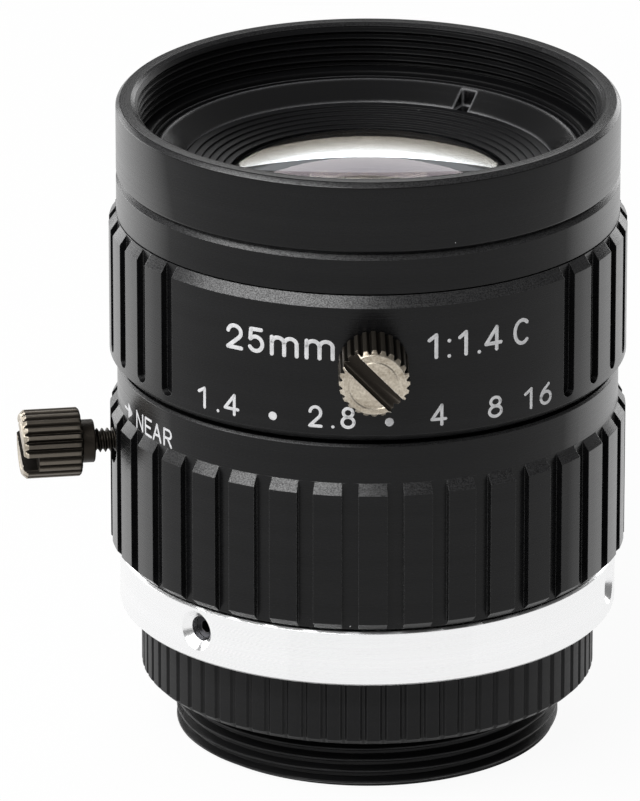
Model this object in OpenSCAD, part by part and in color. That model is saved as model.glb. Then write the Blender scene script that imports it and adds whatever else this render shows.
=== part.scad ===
// Machine vision lens of 25 mm focal length for a camera with a C-mount.
// The origin lies on the optical axis in the plane of the mounting flange.
// +Z points to the front glass. Azimuth 0 faces -Y and grows towards +X.

/* [Camera mount] */
// Outer diameter of the mounting thread
thread_d = 25.4; // [24:0.1:26]
// Length of the mounting thread behind the flange
thread_len = 4; // [3:0.1:4.2]
// Chamfer at the rear end of the thread
thread_chamfer = 0.2; // [0.1:0.05:0.3]
// Diameter of the ribbed mount ring
mount_d = 30; // [29:0.1:31]
// Height of the ribbed mount ring
mount_h = 4.8; // [4:0.1:6]
// Number of ribs around the mount ring
mount_ribs = 72; // [60:1:84]
// Depth of the grooves between the ribs
rib_depth = 0.25; // [0.15:0.05:0.35]
// Chamfer on the lower edge of the mount ring
mount_chamfer = 0.35; // [0.2:0.05:0.5]
// Clear bore behind the rear glass
rear_bore_d = 23.2; // [22.8:0.1:23.6]
// Diameter of the neck that the base ring clamps
neck_d = 28; // [27.6:0.1:28.4]
// Height of the neck
neck_h = 3.1; // [2.8:0.1:3.2]

/* [Base ring] */
// Wall of the bright base ring around the neck
base_wall = 2.4; // [2.1:0.1:2.7]
// Height of the bright base ring
base_h = 3.8; // [3.6:0.1:4.6]
// Edge break of the base ring
base_edge = 0.15; // [0.1:0.05:0.3]
// Outer diameter of the guide sleeve on the base ring
sleeve_d = 27; // [26.6:0.1:27.2]
// Wall of the guide sleeve
sleeve_wall = 1.3; // [1:0.1:1.4]
// Height of the guide sleeve above the base ring
sleeve_h = 11.4; // [10:0.1:11.6]
// Azimuth of the first clamping screw
clamp_azimuth = -43; // [-60:1:-30]
// Height of the clamping screws above the lower face of the base ring
clamp_rise = 2.1; // [1.7:0.1:2.2]
// Diameter of the clamping screws
clamp_d = 1.6; // [1.4:0.1:1.8]
// Mouth of the countersink over a clamping screw
sink_d = 2.7; // [2.4:0.1:3]
// Diameter of the guide key
key_d = 2; // [1.6:0.1:2.2]

/* [Focus ring] */
// Diameter across the grips of both rings
grip_d = 34; // [33.8:0.1:35]
// Diameter of the smooth bands
band_d = 33; // [32.6:0.1:33.2]
// Height of the focus ring
focus_h = 12.8; // [12:0.1:14]
// Height of the smooth band on top of the focus ring
focus_band_h = 2.65; // [2:0.05:3]
// Height of the sloping shoulder above each grip
shoulder_h = 0.7; // [0.5:0.05:1]
// Chamfer on the lower edge of both rings
ring_chamfer = 0.5; // [0.3:0.05:0.6]
// Number of grooves in a full turn of grip
groove_count = 36; // [30:1:40]
// Width of a grip groove
groove_w = 1.08; // [0.8:0.02:1.3]
// Azimuth of one groove of the focus ring
focus_groove_azimuth = -3.8; // [-5:0.1:5]
// Travel of the lens barrel between far and near focus
focus_travel = 2.3; // [1.5:0.1:2.5]

/* [Iris ring] */
// Height of the iris ring
iris_h = 9.9; // [9:0.1:11]
// Half of the smooth sector that carries the aperture scale
smooth_half = 48; // [44:1:56]
// Height of the rounded groove ends above the lower edge
groove_end = 0.9; // [0.7:0.1:1.5]
// Turn of the iris ring from rest to fully open
open_turn = 35.2; // [30:0.1:38]
// Turn of the iris ring from rest to the smallest opening
close_turn = 41.6; // [38:0.1:44]

/* [Front barrel] */
// Height of the smooth band above the iris ring, up to the seam
front_band_h = 2.6; // [2.2:0.1:3.2]
// Height of the front hood above the seam
hood_h = 4.9; // [4.4:0.1:6]
// Depth of the seam groove
seam_depth = 0.3; // [0.2:0.05:0.4]
// Bore of the filter thread
filter_d = 30.5; // [30:0.1:31]
// Depth of the filter thread
filter_len = 3; // [2.6:0.1:3.2]
// Chamfer on the rim of the hood
rim_chamfer = 0.3; // [0.2:0.05:0.4]
// Outer diameter of the lens barrel tube
tube_d = 30; // [29.8:0.1:30.2]
// Main bore of the lens barrel
bore_d = 25.8; // [25.6:0.1:26]

/* [Lock screws] */
// Diameter of a knurled screw head
head_d = 4.55; // [4:0.05:5]
// Length of a knurled screw head
head_len = 3.9; // [3:0.1:5]
// Number of knurl teeth on a head
head_teeth = 24; // [18:1:30]
// Diameter of the collar under a head
collar_d = 2.85; // [2.4:0.05:3]
// Length of the collar under a head
collar_len = 0.93; // [0.7:0.01:1.1]
// Thread diameter of a lock screw
lock_d = 1.6; // [1.4:0.1:2]
// Width of the screwdriver slot
slot_w = 1.2; // [0.8:0.1:1.4]
// Depth of the screwdriver slot
slot_depth = 1; // [0.6:0.1:1.4]
// Azimuth of the iris lock screw
iris_lock_azimuth = 1.2; // [-3:0.1:3]
// Height of the iris lock screw above the lower face of the iris ring
iris_lock_rise = 5.5; // [4.5:0.1:6.5]
// Azimuth of the focus lock screw
focus_lock_azimuth = -81; // [-90:1:-70]
// Height of the focus lock screw above the lower face of the focus ring
focus_lock_rise = 7.8; // [6.5:0.1:8]
// Distance that the focus lock screw stands unscrewed
focus_lock_out = 2.15; // [0:0.05:2.5]

/* [Iris diaphragm] */
// Number of iris blades
blade_count = 6; // [6:1:6]
// Radius of the fully open iris
open_r = 7.2; // [7:0.05:7.3]
// Radius of the circle of blade pivots
pivot_r = 9.5; // [9.4:0.05:9.6]
// Arc of a blade between its two pins
blade_arc = 150; // [146:1:152]
// Sheet thickness of a blade
blade_t = 0.06; // [0.04:0.01:0.08]
// Rise of a blade from its pivot end to its driven end
blade_rise = 1.5; // [1.4:0.05:1.6]
// Angle that a blade turns from open to closed
blade_swing = 39.2; // [37:0.2:39.2]
// Radius of the pins on a blade
blade_pin_r = 0.3; // [0.25:0.05:0.35]

/* [Glass] */
// Radius of the front lens element
front_glass_r = 10.2; // [10:0.1:10.4]
// Clear radius in front of the front element
front_clear_r = 9.25; // [9:0.05:9.6]
// Depth of the front glass vertex below the rim of the hood
glass_depth = 3.55; // [3.2:0.05:4]
// Distance from the open iris to the edge of the inner front elements
inner_margin = 1.8; // [1.6:0.1:1.9]
// Radius of the rear group elements
rear_glass_r = 8.2; // [8:0.1:8.4]
// Radius of the last element
last_glass_r = 7.5; // [7.2:0.1:7.8]

/* [Fits] */
// Radial clearance of parts that turn or slide on each other
run_fit = 0.05; // [0.03:0.01:0.08]
// Axial gap between the base ring and the focus ring
focus_gap = 0.25; // [0.2:0.05:0.35]
// Axial gap between the focus ring and the iris ring
iris_gap = 0.35; // [0.25:0.05:0.5]
// Axial gap of parts that turn against a face
face_gap = 0.1; // [0.05:0.01:0.12]

/* [Hidden] */
$fn = 96;

// Heights of the stack, from the flange to the front rim
base_z = mount_h;
sleeve_z = base_z + base_h;
focus_z = sleeve_z + focus_gap;
focus_top = focus_z + focus_h;
iris_z = focus_top + iris_gap;
iris_top = iris_z + iris_h;
band_z = iris_top + face_gap;
seam_z = band_z + front_band_h;
rim_z = seam_z + hood_h;

// Small clearances and the overshoot of cutting solids
seat_fit = 0.03;
joint_lap = 0.1;
groove_lap = 0.01;
cut = 1;

// Radii of the outer rings
grip_r = grip_d / 2;
band_r = band_d / 2;
tube_r = tube_d / 2;
bore_r = bore_d / 2;
sleeve_r = sleeve_d / 2;
sleeve_in = sleeve_r - sleeve_wall;
neck_r = neck_d / 2;
base_r = neck_r + base_wall;
filter_r = filter_d / 2;

// Base ring and its clamping screws
web_z = base_z + neck_h + face_gap;
clamp_z = base_z + clamp_rise;
clamp_groove = 0.5;
clamp_hole_r = clamp_d / 2 + seat_fit;
clamp_recess = 0.45;
clamp_point_r = 0.3;
clamp_point_gap = 0.35;
hex_d = 0.9;
hex_depth = 0.8;

// Focus ring running gear
lip_h = 1.1;
lip_r = sleeve_r + face_gap;
retainer_h = 0.8;
retainer_z = focus_z + lip_h + face_gap;
retainer_r = tube_r - face_gap;
retainer_notch = 0.4;
skirt_gap = 0.5;
skirt_z = retainer_z + retainer_h + skirt_gap;
skirt_break = 0.3;
skirt_in = sleeve_r + run_fit;
ring_bore_r = tube_r + run_fit;
band_break = 0.15;
lock_seat_depth = 0.2;
shank_gap = 0.2;

// Guide key, still covered by its slot when the barrel stands at near focus
key_cover = 1.35;
key_z = skirt_z + focus_travel + key_d / 2 + key_cover;
key_azimuth = 90;
key_end_gap = 0.15;
key_slot_play = 0.2;

// Heads of the lock screws
knurl_depth = 0.22;
knurl_clear = 0.05;
head_break = 0.15;
head_bevel = 0.3;
iris_slot_turn = -46;
focus_slot_turn = -20;

// Iris unit inside the barrel
cell_seat_h = 1;
cell_gap = 0.6;
cell_seat_z = sleeve_z + sleeve_h + cell_gap;
iris_seat_z = cell_seat_z + cell_seat_h;
plate_t = 0.6;
iris_floor = iris_seat_z + 2 * plate_t;
blade_z = iris_floor + face_gap;
cam_z = blade_z + blade_rise + blade_t + face_gap;
cam_t = 1.2;
cover_z = cam_z + cam_t + face_gap;
cover_t = 0.4;
front_cell_z = cover_z + cover_t;
unit_r = bore_r - run_fit;
unit_wall = 0.45;
cam_r = unit_r - unit_wall - face_gap;
plate_hole_r = open_r + 0.1;
cam_hole_r = open_r + 0.3;
blade_outer_r = pivot_r - 0.4;
blade_over = 3;
blade_steps = 24;
pad_r = 0.7;
scale_turn = open_turn + close_turn;
blade_per_turn = blade_swing / scale_turn;
rest_swing = open_turn * blade_per_turn;
// The pin's path weaves a little about a straight radial line
slot_play = 0.19;
slot_shift = -0.36;
drive_azimuth = 180;
drive_pin_r = 0.45;
drive_pin_len = 1;
drive_head_r = 0.75;
drive_head_sink = 0.15;
drive_slot_w = 0.3;
drive_slot_depth = 0.45;
drive_z = cam_z + cam_t / 2;
window_margin = 3;
smooth_margin = 2;
window_h = 2 * drive_pin_r + 2 * face_gap;

// Front seats
hood_seat_h = 0.5;
hood_seat_z = band_z + hood_seat_h;
hood_spigot_r = tube_r;
hood_ledge = 1;
hood_bore_r = filter_r - hood_ledge;
hood_floor = rim_z - filter_len;
filter_break = 0.25;
flange_t = 0.8;
ring_sink = 0.35;
ring_top = hood_floor - ring_sink;
ring_land = 0.6;
ring_slope = 1.15;
ring_in = 12.2;
ring_notch = 0.7;
ring_notch_azimuth = 150;
clear_depth = 5.4;
clear_z = rim_z - clear_depth;
baffle_steps = 6;
baffle_gap = 0.2;
glass_gap = 0.05;
notch_w = 1.1;
notch_len = 1.3;

// Glass vertices and curvatures
glass_z = rim_z - glass_depth;
front_r1 = 24;
front_r2 = 80;
front_t = 3.4;
front_air = 0.3;
inner_z = glass_z - front_t - front_air;
inner_glass_r = open_r + inner_margin;
inner_r1 = 14;
inner_r2 = 40;
inner_rim_t = 0.15;
inner_t = sag(inner_r1, inner_glass_r) - sag(inner_r2, inner_glass_r) + inner_rim_t;
stop_t = 0.9;
stop_r2 = 11.5;
stop_rim_r = 7;
inner_back = inner_z - inner_t;
stop_back = inner_back - stop_t;
stop_rim_z = stop_back - sag(stop_r2, stop_rim_r);
front_edge_z = glass_z - sag(front_r1, front_glass_r);
front_back_z = glass_z - front_t - sag(front_r2, front_glass_r);
inner_edge_z = inner_z - sag(inner_r1, inner_glass_r);

rear_sink = 0.7;
rear_rim_z = iris_seat_z - rear_sink;
rear_rim_r = 6.6;
rear_r1 = 9.5;
rear_t = 1;
rear_top = rear_rim_z - sag(rear_r1, rear_rim_r);
rear_plane = rear_top - rear_t;
middle_r2 = 13;
middle_rim_t = 0.49;
middle_t = sag(middle_r2, rear_glass_r) + middle_rim_t;
middle_back = rear_plane - middle_t;
middle_edge_z = middle_back + sag(middle_r2, rear_glass_r);
third_gap = 0.5;
third_r = 26;
third_rim_t = 0.75;
third_t = 2 * sag(third_r, rear_glass_r) + third_rim_t;
third_top = middle_back - third_gap;
third_back = third_top - third_t;
third_edge_top = third_top - sag(third_r, rear_glass_r);
third_edge_low = third_back + sag(third_r, rear_glass_r);
rear_recess = 1.5;
rear_end_z = rear_recess - thread_len;
last_ring_h = 1.4;
last_edge_low = rear_end_z + last_ring_h;
last_edge_t = 1.4;
last_edge_top = last_edge_low + last_edge_t;
last_r1 = 18;
last_r2 = 60;
last_ring_w = 0.9;
last_ring_gap = 0.1;
last_notch = 0.5;
last_notch_azimuth = 30;
cell_play = 0.6;
cell_tube_r = rear_bore_d / 2 - cell_play;
cell_collar = 0.55;
spacer_w = 0.7;
rear_spacer_w = 0.6;

// Depth of a spherical surface of radius r at distance a from its axis
function sag(r, a) = r - sqrt(r * r - a * a);

// Points of a spherical face from radius a to radius b, bulging up for a positive r
function dome(z, r, a, b, n = 16) = [
    for (i = [0 : n])
        let (x = a + (b - a) * i / n)
        [x, z - sign(r) * sag(abs(r), x)]
];

// Point at radius r and polar angle a
function polar(r, a) = [r * cos(a), r * sin(a)];

// Parts modelled facing -Y are carried to their azimuth
module at_azimuth(a) {
    rotate([0, 0, a]) children();
}

// Radial cylinder that faces -Y, from distance a to distance b off the axis
module radial(r, a, b, r2 = -1) {
    translate([0, -b, 0])
        rotate([-90, 0, 0])
            cylinder(r1 = r2 < 0 ? r : r2, r2 = r, h = b - a, $fn = 48);
}

// Plain ring from a low to a high level
module ring(r_out, r_in, z_low, z_high) {
    translate([0, 0, z_low])
        difference() {
            cylinder(r = r_out, h = z_high - z_low);
            translate([0, 0, -cut]) cylinder(r = r_in, h = z_high - z_low + 2 * cut);
        }
}

// Grip groove that faces -Y, open at the top, with a round or an open lower end
module grip_groove(z_low, z_high, floor_r, round_end) {
    rotate([90, 0, 0])
        translate([0, 0, floor_r])
            linear_extrude(height = 2 * cut)
                union() {
                    translate([-groove_w / 2, z_low]) square([groove_w, z_high - z_low]);
                    if (round_end) translate([0, z_low]) circle(d = groove_w, $fn = 32);
                }
}

// Hole, counterbore and seat of a lock screw that faces -Y
module lock_hole(seat_r) {
    radial(lock_d / 2 + run_fit, tube_r - cut, seat_r + cut);
    radial(collar_d / 2 + face_gap, seat_r - collar_len - face_gap, grip_r + cut);
}

// Knurled thumb screw with a slot, its axis up and its tip at the origin
module thumb_screw(shank_len, slot_turn) {
    tooth = 360 / head_teeth;
    root_r = head_d / 2 - knurl_depth;
    tip_r = head_d / 2 + knurl_clear;
    head_z = shank_len + collar_len;
    outline = [
        for (i = [0 : head_teeth - 1], s = [0 : 3])
            polar(s == 1 || s == 2 ? head_d / 2 : root_r, tooth * (i + [0, 0.3, 0.6, 0.9][s]))
    ];
    cylinder(d = lock_d, h = shank_len + joint_lap, $fn = 48);
    translate([0, 0, shank_len]) cylinder(d = collar_d, h = collar_len + joint_lap, $fn = 48);
    difference() {
        intersection() {
            translate([0, 0, head_z]) linear_extrude(height = head_len) polygon(outline);
            translate([0, 0, head_z])
                rotate_extrude($fn = 64)
                    polygon([
                        [0, 0], [tip_r - head_break, 0], [tip_r, head_break],
                        [tip_r, head_len - head_bevel], [tip_r - head_bevel, head_len],
                        [0, head_len]
                    ]);
        }
        translate([0, 0, head_z + head_len - slot_depth])
            rotate([0, 0, slot_turn])
                translate([-head_d, -slot_w / 2, 0])
                    cube([2 * head_d, slot_w, slot_depth + cut]);
    }
}

// Two spanner notches, sunk into a ring of middle radius r whose face lies at height z
module notches(r, z, depth, azimuth) {
    for (a = [0, 180])
        rotate([0, 0, azimuth + a])
            translate([-notch_w / 2, -r - notch_len / 2, z - depth])
                cube([notch_w, notch_len, depth + cut]);
}

// Ribbed mount ring with the mounting thread and the neck
module mount_ring() {
    pitch = 360 / mount_ribs;
    mr = mount_d / 2;
    tr = thread_d / 2;
    outline = [
        for (i = [0 : mount_ribs - 1], s = [0 : 2])
            polar([mr, mr, mr - rib_depth][s], pitch * (i + [0, 0.64, 0.82][s]))
    ];
    color([0.09, 0.09, 0.1])
        difference() {
            union() {
                intersection() {
                    linear_extrude(height = mount_h) polygon(outline);
                    rotate_extrude()
                        polygon([
                            [0, 0], [mr - mount_chamfer, 0],
                            [mr + joint_lap, mount_chamfer + joint_lap],
                            [mr + joint_lap, mount_h], [0, mount_h]
                        ]);
                }
                rotate_extrude()
                    polygon([
                        [0, -thread_len], [tr - thread_chamfer, -thread_len],
                        [tr, thread_chamfer - thread_len], [tr, joint_lap], [0, joint_lap]
                    ]);
                rotate_extrude()
                    polygon([
                        [0, mount_h - joint_lap], [neck_r, mount_h - joint_lap],
                        [neck_r, clamp_z - clamp_groove], [neck_r - clamp_groove, clamp_z],
                        [neck_r, clamp_z + clamp_groove], [neck_r, mount_h + neck_h],
                        [0, mount_h + neck_h]
                    ]);
            }
            translate([0, 0, -thread_len - cut])
                cylinder(d = rear_bore_d, h = thread_len + mount_h + neck_h + 2 * cut);
        }
}

// Bright base ring with the guide sleeve for the lens barrel
module base_ring() {
    br = base_r;
    socket_r = neck_r + run_fit;
    sink_depth = sink_d / 2 - clamp_hole_r;
    color([0.86, 0.87, 0.88])
        difference() {
            rotate_extrude()
                polygon([
                    [socket_r, base_z], [br - base_edge, base_z], [br, base_z + base_edge],
                    [br, sleeve_z - base_edge], [br - base_edge, sleeve_z],
                    [sleeve_r, sleeve_z], [sleeve_r, sleeve_z + sleeve_h],
                    [sleeve_in, sleeve_z + sleeve_h], [sleeve_in, web_z], [socket_r, web_z]
                ]);
            for (i = [0 : 2])
                at_azimuth(clamp_azimuth + 120 * i)
                    translate([0, 0, clamp_z]) {
                        radial(clamp_hole_r, neck_r - cut, br + cut);
                        radial(clamp_hole_r, br - sink_depth, br + cut, sink_d / 2 + cut);
                    }
            at_azimuth(key_azimuth)
                translate([0, 0, key_z]) radial(key_d / 2, sleeve_in - cut, sleeve_r + cut);
        }
}

// Headless clamping screw with a cone point and a hexagon socket
module clamp_screw(i) {
    cr = clamp_d / 2;
    tip = neck_r - clamp_groove + clamp_point_gap;
    shoulder = tip + cr - clamp_point_r;
    end = base_r - sink_d / 2 + clamp_hole_r - clamp_recess;
    color([0.16, 0.16, 0.17])
        at_azimuth(clamp_azimuth + 120 * i)
            translate([0, 0, clamp_z])
                difference() {
                    union() {
                        radial(clamp_point_r, tip, shoulder, cr);
                        radial(cr, shoulder, end);
                    }
                    translate([0, -end - cut, 0])
                        rotate([-90, 30, 0]) cylinder(d = hex_d, h = hex_depth + cut, $fn = 6);
                }
}

// Key that stops the lens barrel from turning
module guide_key() {
    color([0.6, 0.58, 0.52])
        at_azimuth(key_azimuth)
            translate([0, 0, key_z]) radial(key_d / 2, sleeve_in + face_gap, tube_r - key_end_gap);
}

// Screwed ring that holds the focus ring down on the base ring
module focus_retainer() {
    color([0.12, 0.12, 0.13])
        difference() {
            ring(retainer_r, sleeve_r, retainer_z, retainer_z + retainer_h);
            notches((sleeve_r + retainer_r) / 2, retainer_z + retainer_h, retainer_notch, 0);
        }
}

// Focus ring with its smooth band and full grip
module focus_ring() {
    grip_top = focus_top - focus_band_h;
    groove_step = 360 / groove_count;
    color([0.1, 0.1, 0.11])
        difference() {
            rotate_extrude()
                polygon([
                    [lip_r, focus_z], [grip_r - ring_chamfer, focus_z], [grip_r, focus_z + ring_chamfer],
                    [grip_r, grip_top - shoulder_h], [band_r, grip_top],
                    [band_r, focus_top - band_break], [band_r - band_break, focus_top],
                    [ring_bore_r, focus_top], [ring_bore_r, focus_z + lip_h], [lip_r, focus_z + lip_h]
                ]);
            for (i = [0 : groove_count - 1])
                at_azimuth(focus_groove_azimuth + i * groove_step)
                    grip_groove(focus_z - cut, grip_top + groove_lap, band_r, false);
            at_azimuth(focus_lock_azimuth)
                translate([0, 0, focus_z + focus_lock_rise]) lock_hole(band_r - lock_seat_depth);
        }
}

// Lock screw of the focus ring, standing partly unscrewed
module focus_lock_screw() {
    seat = grip_r + run_fit + focus_lock_out;
    shank = seat - collar_len - tube_r - shank_gap;
    color([0.62, 0.58, 0.52])
        at_azimuth(focus_lock_azimuth)
            translate([0, collar_len + shank - seat, focus_z + focus_lock_rise])
                rotate([90, 0, 0]) thumb_screw(shank, focus_slot_turn);
}

// Lens barrel: keyed skirt, tube for the iris ring and front band
module main_barrel() {
    key_slot_w = key_d + 2 * run_fit;
    key_slot_top = key_z + key_d / 2 + key_slot_play;
    color([0.1, 0.1, 0.11])
        difference() {
            rotate_extrude()
                polygon([
                    [skirt_in, skirt_z], [tube_r - skirt_break, skirt_z], [tube_r, skirt_z + skirt_break],
                    [tube_r, band_z], [band_r, band_z],
                    [band_r, seam_z - seam_depth], [band_r - seam_depth, seam_z],
                    [hood_spigot_r + run_fit, seam_z], [hood_spigot_r + run_fit, hood_seat_z],
                    [bore_r, hood_seat_z], [bore_r, iris_seat_z],
                    [cell_tube_r + cell_play, iris_seat_z], [cell_tube_r + cell_play, cell_seat_z],
                    [skirt_in, cell_seat_z]
                ]);
            at_azimuth(key_azimuth)
                translate([-key_slot_w / 2, -tube_r - cut, skirt_z - cut])
                    cube([key_slot_w, tube_r - sleeve_in + cut, key_slot_top - skirt_z + cut]);
            drive_window(bore_r - cut, tube_r + cut);
        }
}

// Window that the iris drive screw sweeps through
module drive_window(r_in, r_out) {
    rotate([0, 0, drive_azimuth - 90 - close_turn - window_margin])
        rotate_extrude(angle = scale_turn + 2 * window_margin)
            translate([r_in, drive_z - window_h / 2]) square([r_out - r_in, window_h]);
}

// Hood with the filter thread bore, screwed into the barrel
module front_hood() {
    color([0.1, 0.1, 0.11])
        rotate_extrude()
            polygon([
                [hood_bore_r, hood_seat_z + flange_t], [hood_spigot_r, hood_seat_z + flange_t],
                [hood_spigot_r, seam_z], [band_r - seam_depth, seam_z],
                [band_r, seam_z + seam_depth], [band_r, rim_z - rim_chamfer],
                [band_r - rim_chamfer, rim_z], [filter_r + filter_break, rim_z],
                [filter_r, rim_z - filter_break], [filter_r, hood_floor], [hood_bore_r, hood_floor]
            ]);
}

// Screwed ring with a sloping face that clamps the front cell
module front_retaining_ring() {
    or = hood_bore_r - run_fit;
    color([0.08, 0.08, 0.09])
        difference() {
            rotate_extrude()
                polygon([
                    [ring_in, hood_seat_z + flange_t], [or, hood_seat_z + flange_t],
                    [or, ring_top], [or - ring_land, ring_top], [ring_in, ring_top - ring_slope]
                ]);
            notches(ring_in + ring_land, ring_top - ring_slope / 2, ring_notch, ring_notch_azimuth);
        }
}

// Cell that carries the front glasses
module front_cell() {
    color([0.08, 0.08, 0.09])
        rotate_extrude()
            polygon([
                [plate_hole_r, front_cell_z], [unit_r, front_cell_z], [unit_r, hood_seat_z],
                [hood_bore_r - run_fit, hood_seat_z], [hood_bore_r - run_fit, hood_seat_z + flange_t],
                [ring_in - face_gap, hood_seat_z + flange_t], [ring_in - face_gap, clear_z],
                [front_glass_r + seat_fit, clear_z], [front_glass_r + seat_fit, front_back_z],
                [inner_glass_r + seat_fit, front_back_z], [inner_glass_r + seat_fit, stop_rim_z],
                [plate_hole_r, stop_rim_z]
            ]);
}

// Stepped baffle ring that clamps the front element
module glass_clamp_ring() {
    top = ring_top - ring_slope;
    run = (ring_in - baffle_gap - front_clear_r) / baffle_steps;
    rise = (top - clear_z) / baffle_steps;
    steps = [
        for (i = [0 : baffle_steps - 1], s = [0, 1])
            [front_clear_r + run * (i + s), clear_z + rise * (i + 1)]
    ];
    color([0.08, 0.08, 0.09])
        rotate_extrude()
            polygon(concat(
                [[front_glass_r, front_edge_z + glass_gap], [front_glass_r, clear_z],
                 [ring_in - face_gap, clear_z], [ring_in - face_gap, top]],
                [for (i = [len(steps) - 1 : -1 : 0]) steps[i]],
                [[front_clear_r, glass_z - sag(front_r1, front_clear_r) + glass_gap]]
            ));
}

// Solid of revolution between an upper and a lower glass surface
module glass(upper, lower) {
    color([0.7, 0.8, 0.85, 0.4])
        rotate_extrude()
            polygon(concat(upper, [for (i = [len(lower) - 1 : -1 : 0]) lower[i]]));
}

// Front meniscus
module front_element() {
    glass(
        dome(glass_z, front_r1, 0, front_glass_r),
        dome(glass_z - front_t, front_r2, 0, front_glass_r)
    );
}

// Positive half of the cemented pair in front of the iris
module inner_element_front() {
    glass(
        dome(inner_z, inner_r1, 0, inner_glass_r),
        dome(inner_back, inner_r2, 0, inner_glass_r)
    );
}

// Negative half of the cemented pair, hollow towards the iris
module inner_element_stop() {
    glass(
        dome(inner_back, inner_r2, 0, inner_glass_r),
        concat(dome(stop_back, stop_r2, 0, stop_rim_r), [[inner_glass_r, stop_rim_z]])
    );
}

// Spacer between the front element and the cemented pair
module front_spacer() {
    in = inner_glass_r - spacer_w;
    color([0.08, 0.08, 0.09])
        rotate_extrude()
            polygon([
                [in, inner_z - sag(inner_r1, in) + seat_fit],
                [inner_glass_r, inner_edge_z + seat_fit],
                [inner_glass_r, front_back_z - seat_fit],
                [in, front_back_z - seat_fit]
            ]);
}

// Cup that holds the blade pivots and guides the cam ring
module iris_housing() {
    floor_z = iris_seat_z + plate_t;
    color([0.12, 0.12, 0.13])
        difference() {
            rotate_extrude()
                polygon([
                    [plate_hole_r, floor_z], [unit_r, floor_z], [unit_r, cover_z],
                    [unit_r - unit_wall, cover_z], [unit_r - unit_wall, iris_floor],
                    [plate_hole_r, iris_floor]
                ]);
            for (i = [0 : blade_count - 1])
                rotate([0, 0, 60 * i])
                    translate([pivot_r, 0, floor_z - cut])
                        cylinder(r = blade_pin_r + run_fit, h = plate_t + 2 * cut, $fn = 32);
            drive_window(unit_r - cut, unit_r + cut);
        }
}

// Thin plate that closes the iris unit
module iris_cover() {
    color([0.12, 0.12, 0.13]) ring(unit_r, plate_hole_r, cover_z, cover_z + cover_t);
}

// Distance of a blade's driven pin from the axis when the blade has swung by b
function pin_distance(b) =
    norm([pivot_r, 0] + polar(2 * pivot_r * sin(blade_arc / 2), 90 + blade_arc / 2 + b));

// Straight slot in the cam ring that leads a driven pin
module cam_slot() {
    half = blade_pin_r + run_fit + slot_play;
    near = pin_distance(90 - blade_arc / 2) - slot_play;
    far = max(pin_distance(0), pin_distance(blade_swing)) + slot_play;
    rotate([0, 0, slot_shift - blade_arc - rest_swing / blade_per_turn])
        translate([0, 0, cam_z - cut])
            linear_extrude(height = cam_t + 2 * cut)
                union() {
                    translate([near, -half]) square([far - near, 2 * half]);
                    translate([near, 0]) circle(r = half, $fn = 32);
                    translate([far, 0]) circle(r = half, $fn = 32);
                }
}

// Ring whose slots drive the blades
module cam_ring() {
    color([0.45, 0.42, 0.36])
        difference() {
            ring(cam_r, cam_hole_r, cam_z, cam_z + cam_t);
            for (i = [0 : blade_count - 1])
                rotate([0, 0, 60 * i]) cam_slot();
            at_azimuth(drive_azimuth)
                translate([0, 0, drive_z])
                    radial(drive_pin_r + run_fit, cam_r - drive_pin_len - face_gap, cam_r + cut);
        }
}

// Curved sheet that climbs from the pivot end to the driven end
module blade_sheet() {
    n = blade_steps;
    over = blade_over;
    sweep = blade_arc + 2 * over;
    level = [for (i = [0 : n]) blade_rise * min(max((sweep * i / n - over) / blade_arc, 0), 1)];
    corners = [
        for (i = [0 : n])
            let (a = over - sweep * i / n)
            for (c = [[open_r, 0], [blade_outer_r, 0], [blade_outer_r, blade_t], [open_r, blade_t]])
                [c[0] * cos(a), c[0] * sin(a), level[i] + c[1]]
    ];
    sides = [
        for (i = [0 : n - 1], k = [0 : 3])
            let (a = 4 * i + k, b = 4 * i + (k + 1) % 4)
            for (f = [[a, b + 4, b], [a, a + 4, b + 4]])
                f
    ];
    ends = [[0, 1, 2, 3], [4 * n + 3, 4 * n + 2, 4 * n + 1, 4 * n]];
    polyhedron(points = corners, faces = concat(sides, ends));
}

// Blade with a pad and a pin at each end, at its rest position
module iris_blade(i) {
    far = polar(pivot_r, -blade_arc);
    pin_len = plate_t - face_gap;
    color([0.05, 0.05, 0.055])
        rotate([0, 0, 60 * i])
            translate([pivot_r, 0, blade_z])
                rotate([0, 0, -rest_swing])
                    translate([-pivot_r, 0, 0])
                        union() {
                            blade_sheet();
                            translate([pivot_r, 0, 0]) cylinder(r = pad_r, h = blade_t, $fn = 32);
                            translate([pivot_r, 0, -face_gap - pin_len])
                                cylinder(r = blade_pin_r, h = face_gap + pin_len + blade_t / 2, $fn = 32);
                            translate([far[0], far[1], blade_rise])
                                cylinder(r = pad_r, h = blade_t, $fn = 32);
                            translate([far[0], far[1], blade_rise + blade_t / 2])
                                cylinder(r = blade_pin_r, h = cam_t, $fn = 32);
                        }
}

// Aperture ring with a smooth sector for its scale
module iris_ring() {
    groove_step = 360 / groove_count;
    groove_z = iris_z + groove_end + groove_w / 2;
    first = ceil((smooth_half + smooth_margin) / groove_step);
    last = groove_count - first;
    color([0.1, 0.1, 0.11])
        difference() {
            rotate_extrude()
                polygon([
                    [ring_bore_r, iris_z], [grip_r - ring_chamfer, iris_z],
                    [grip_r, iris_z + ring_chamfer], [grip_r, iris_top - shoulder_h],
                    [band_r, iris_top], [ring_bore_r, iris_top]
                ]);
            for (i = [first : last])
                at_azimuth(i * groove_step)
                    grip_groove(groove_z, iris_top + groove_lap, band_r, true);
            at_azimuth(iris_lock_azimuth)
                translate([0, 0, iris_z + iris_lock_rise]) lock_hole(grip_r + run_fit);
            at_azimuth(drive_azimuth)
                translate([0, 0, drive_z]) radial(drive_head_r + run_fit, tube_r - cut, grip_r + cut);
        }
}

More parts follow.
